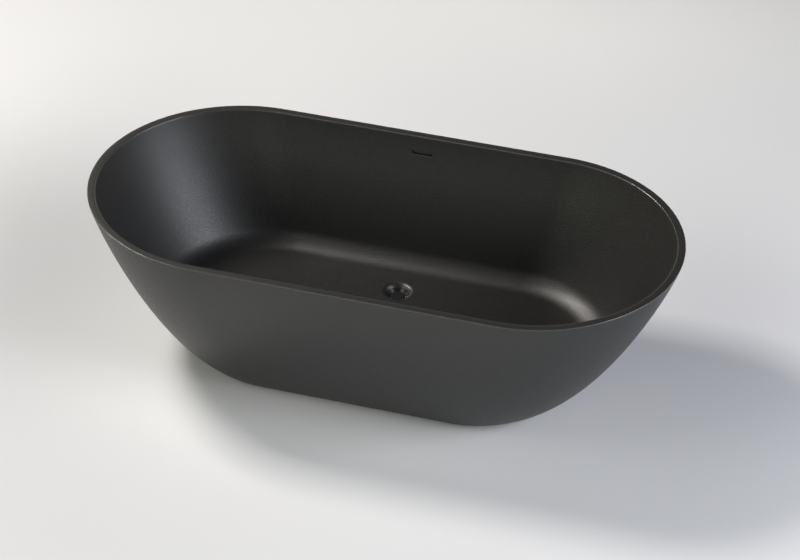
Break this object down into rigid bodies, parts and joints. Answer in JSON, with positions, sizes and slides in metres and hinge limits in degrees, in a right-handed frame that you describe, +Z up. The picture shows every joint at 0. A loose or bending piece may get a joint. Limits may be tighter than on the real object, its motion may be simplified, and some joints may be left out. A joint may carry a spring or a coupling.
{
  "type": "freestanding bathtub",
  "caption": "Oval freestanding bathtub in matte black with a thin flat rim, inward-curving walls, a slot overflow in the back wall, an offset click waste and levelling feet.",
  "frame": {"origin": "on the floor, under the middle of the tub", "axes": "+X along the tub, +Y across it towards the wall with the overflow slot and the waste, +Z up"},
  "size_m": [1.7, 0.85, 0.5],
  "materials": {
    "tub_black": "matte, fine-grained black, like cast stone or textured acrylic",
    "adhesive": "cured sealant",
    "baseboard_wood": "flat particle board",
    "zinc_steel": "zinc-plated sheet",
    "steel_fasteners": "bright zinc plate",
    "stud_steel": "rolled thread, zinc plate",
    "pad_plastic": "moulded black",
    "waste_black": "matte black coat to match the tub",
    "seal_rubber": "smooth rubber",
    "nut_brass": "turned brass",
    "pipe_plastic": "moulded dark grey",
    "cartridge_plastic": "moulded off-white",
    "spring_steel": "drawn wire",
    "hose_rubber": "plain hose",
    "clip_steel": "stainless band"
  },
  "bodies": {
    "tub": {"basin_shell": "tub_black", "outer_shell": "tub_black", "rim_bond": "adhesive", "baseboard": "baseboard_wood", "leg_rail_left": "zinc_steel", "leg_rail_right": "zinc_steel", "rail_screws": "steel_fasteners", "rail_nuts": "steel_fasteners", "lock_nuts": "steel_fasteners", "skirt_brackets": "zinc_steel", "bracket_screws": "steel_fasteners", "waste_flange": "waste_black", "flange_washer": "seal_rubber", "waste_washer": "seal_rubber", "overflow_banjo": "pipe_plastic", "banjo_washer": "seal_rubber", "back_nut": "nut_brass", "union_nut": "pipe_plastic", "outlet_washer": "seal_rubber", "outlet_pipe": "pipe_plastic", "click_cartridge": "cartridge_plastic", "plug_spring": "spring_steel", "overflow_gasket": "seal_rubber", "overflow_duct": "pipe_plastic", "overflow_hose": "hose_rubber", "hose_clip_upper": "clip_steel", "hose_clip_lower": "clip_steel"},
    "plug": {"plug_cap": "waste_black", "plug_seal": "seal_rubber", "plug_stem": "nut_brass"},
    "pad_front_left": {"foot_pad_front_left": "pad_plastic"},
    "stud_front_left": {"foot_stud_front_left": "stud_steel"},
    "pad_front_right": {"foot_pad_front_right": "pad_plastic"},
    "stud_front_right": {"foot_stud_front_right": "stud_steel"},
    "pad_back_left": {"foot_pad_back_left": "pad_plastic"},
    "stud_back_left": {"foot_stud_back_left": "stud_steel"},
    "pad_back_right": {"foot_pad_back_right": "pad_plastic"},
    "stud_back_right": {"foot_stud_back_right": "stud_steel"}
  },
  "joints": [
    {"name": "plug_rise", "type": "slide", "parent": "tub", "child": "plug", "axis": [0, 0, 1], "range_m": [0, 0.009], "deforming": ["plug_spring"]},
    {"name": "foot_height_front_left", "type": "slide", "parent": "tub", "child": "pad_front_left", "axis": [0, 0, -1], "range_m": [0, 0.015]},
    {"name": "stud_turn_front_left", "type": "hinge", "parent": "pad_front_left", "child": "stud_front_left", "pos_m": [-0.33, -0.15, 0.014], "axis": [0, 0, -1], "range_deg": [0, 3090]},
    {"name": "foot_height_front_right", "type": "slide", "parent": "tub", "child": "pad_front_right", "axis": [0, 0, -1], "range_m": [0, 0.015]},
    {"name": "stud_turn_front_right", "type": "hinge", "parent": "pad_front_right", "child": "stud_front_right", "pos_m": [0.33, -0.15, 0.014], "axis": [0, 0, -1], "range_deg": [0, 3090]},
    {"name": "foot_height_back_left", "type": "slide", "parent": "tub", "child": "pad_back_left", "axis": [0, 0, -1], "range_m": [0, 0.015]},
    {"name": "stud_turn_back_left", "type": "hinge", "parent": "pad_back_left", "child": "stud_back_left", "pos_m": [-0.33, 0.15, 0.014], "axis": [0, 0, -1], "range_deg": [0, 3090]},
    {"name": "foot_height_back_right", "type": "slide", "parent": "tub", "child": "pad_back_right", "axis": [0, 0, -1], "range_m": [0, 0.015]},
    {"name": "stud_turn_back_right", "type": "hinge", "parent": "pad_back_right", "child": "stud_back_right", "pos_m": [0.33, 0.15, 0.014], "axis": [0, 0, -1], "range_deg": [0, 3090]}
  ],
  "couplings": [
    {"joint": "stud_turn_front_left", "follows": "foot_height_front_left", "rad_per_m": 3590.4},
    {"joint": "stud_turn_front_right", "follows": "foot_height_front_right", "rad_per_m": 3590.4},
    {"joint": "stud_turn_back_left", "follows": "foot_height_back_left", "rad_per_m": 3590.4},
    {"joint": "stud_turn_back_right", "follows": "foot_height_back_right", "rad_per_m": 3590.4}
  ]
}
